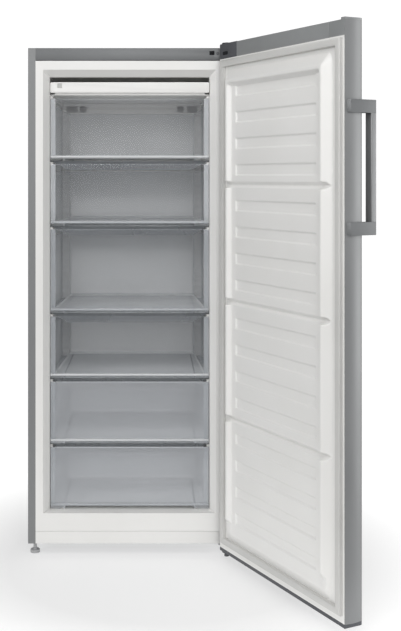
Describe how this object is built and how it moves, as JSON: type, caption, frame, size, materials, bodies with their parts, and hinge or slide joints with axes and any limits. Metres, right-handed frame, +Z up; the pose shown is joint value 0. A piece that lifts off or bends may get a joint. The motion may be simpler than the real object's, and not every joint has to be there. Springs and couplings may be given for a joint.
{
  "type": "upright freezer",
  "caption": "Upright freezer with an open right-hinged door, clear pull-out drawers, a freezing tray, a bar handle, levelling feet and rear rollers.",
  "frame": {"origin": "on the floor at the centre of the cabinet's footprint (the door and handle left out)", "axes": "+Z up, -Y out of the cabinet's front towards the user, +X towards the hinge side, the user's right"},
  "size_m": [0.9079, 1.1348, 1.504],
  "materials": {
    "grey_steel": "satin",
    "grey_plastic": "satin",
    "black_plastic": "matt",
    "white_liner": "satin",
    "white_plastic": "gloss",
    "insulation_foam": "matt",
    "clear_drawer": "gloss",
    "clear_front": "gloss",
    "shelf_glass": "gloss",
    "galvanised": "satin",
    "dark_steel": "satin",
    "black_enamel": "gloss",
    "rubber": "matt",
    "light_rubber": "satin",
    "aluminium": "satin",
    "handle_metal": "satin"
  },
  "bodies": {
    "cabinet": {"outer_shell": "grey_steel", "rear_panel": "galvanised", "top_trim": "grey_plastic", "inner_liner": "white_liner", "insulation_left": "insulation_foam", "insulation_right": "insulation_foam", "insulation_top": "insulation_foam", "insulation_base": "insulation_foam", "insulation_back": "insulation_foam", "base_pan": "galvanised", "plinth": "white_liner", "compressor": "black_enamel", "compressor_mounts": "rubber", "terminal_box": "black_plastic", "condenser": "black_enamel", "drip_tray": "black_plastic", "evaporator": "aluminium", "fan_motor": "black_plastic", "duct_cover": "white_liner", "upper_hinge_bracket": "dark_steel", "lower_hinge_bracket": "dark_steel", "hinge_pins": "dark_steel", "cabinet_screws": "dark_steel", "door_switch_body": "black_plastic", "roller_forks": "galvanised", "shelf_1": "shelf_glass", "shelf_2": "shelf_glass", "shelf_3": "shelf_glass", "shelf_4": "shelf_glass", "shelf_5": "shelf_glass"},
    "door": {"door_panel": "grey_steel", "door_foam": "insulation_foam", "door_liner": "white_liner", "door_gasket": "light_rubber", "door_top_cap": "grey_plastic", "door_corner_cap": "black_plastic", "door_cap_plug": "black_plastic", "door_bottom_cap": "black_plastic", "handle_bar": "handle_metal", "handle_brackets": "grey_plastic"},
    "fan": {"fan_rotor": "white_plastic"},
    "switch_plunger": {"door_switch_plunger": "black_plastic"},
    "foot_left": {"left_foot": "grey_plastic"},
    "foot_right": {"right_foot": "grey_plastic"},
    "roller_left": {"rear_roller_left": "black_plastic"},
    "roller_right": {"rear_roller_right": "black_plastic"},
    "tray": {"freezing_tray": "white_plastic"},
    "drawer_1": {"drawer_1_tub": "clear_drawer", "drawer_1_front": "clear_front"},
    "drawer_2": {"drawer_2_tub": "clear_drawer", "drawer_2_front": "clear_front"},
    "drawer_3": {"drawer_3_tub": "clear_drawer", "drawer_3_front": "clear_front"},
    "drawer_4": {"drawer_4_tub": "clear_drawer", "drawer_4_front": "clear_front"},
    "drawer_5": {"drawer_5_tub": "clear_drawer", "drawer_5_front": "clear_front"},
    "drawer_6": {"drawer_6_tub": "clear_drawer", "drawer_6_front": "clear_front"}
  },
  "joints": [
    {"name": "door_hinge", "type": "hinge", "parent": "cabinet", "child": "door", "pos_m": [0.283, -0.3167, 0.75], "axis": [0, 0, 1], "range_deg": [-116.35, 4.65]},
    {"name": "drawer_1_slide", "type": "slide", "parent": "cabinet", "child": "drawer_1", "axis": [0, -1, 0], "range_m": [0, 0.3]},
    {"name": "drawer_2_slide", "type": "slide", "parent": "cabinet", "child": "drawer_2", "axis": [0, -1, 0], "range_m": [0, 0.3]},
    {"name": "drawer_3_slide", "type": "slide", "parent": "cabinet", "child": "drawer_3", "axis": [0, -1, 0], "range_m": [0, 0.3]},
    {"name": "drawer_4_slide", "type": "slide", "parent": "cabinet", "child": "drawer_4", "axis": [0, -1, 0], "range_m": [0, 0.3]},
    {"name": "drawer_5_slide", "type": "slide", "parent": "cabinet", "child": "drawer_5", "axis": [0, -1, 0], "range_m": [0, 0.3]},
    {"name": "drawer_6_slide", "type": "slide", "parent": "cabinet", "child": "drawer_6", "axis": [0, -1, 0], "range_m": [0, 0.22]},
    {"name": "tray_slide", "type": "slide", "parent": "cabinet", "child": "tray", "axis": [0, -1, 0], "range_m": [0, 0.27]},
    {"name": "switch_press", "type": "slide", "parent": "cabinet", "child": "switch_plunger", "axis": [0, -1, 0], "range_m": [-0.005, 0], "stiffness_N_per_m": 200, "springref_m": 0.002},
    {"name": "fan_spin", "type": "hinge", "parent": "cabinet", "child": "fan", "pos_m": [0, 0.182, 0.62], "axis": [0, 1, 0], "continuous": true},
    {"name": "foot_left_turn", "type": "hinge", "parent": "cabinet", "child": "foot_left", "pos_m": [-0.281, -0.248, 0.02], "axis": [0, 0, 1], "range_deg": [-360, 360]},
    {"name": "foot_right_turn", "type": "hinge", "parent": "cabinet", "child": "foot_right", "pos_m": [0.281, -0.185, 0.02], "axis": [0, 0, 1], "range_deg": [-360, 360]},
    {"name": "roller_left_spin", "type": "hinge", "parent": "cabinet", "child": "roller_left", "pos_m": [-0.255, 0.255, 0.015], "axis": [1, 0, 0], "continuous": true},
    {"name": "roller_right_spin", "type": "hinge", "parent": "cabinet", "child": "roller_right", "pos_m": [0.255, 0.255, 0.015], "axis": [1, 0, 0], "continuous": true}
  ]
}
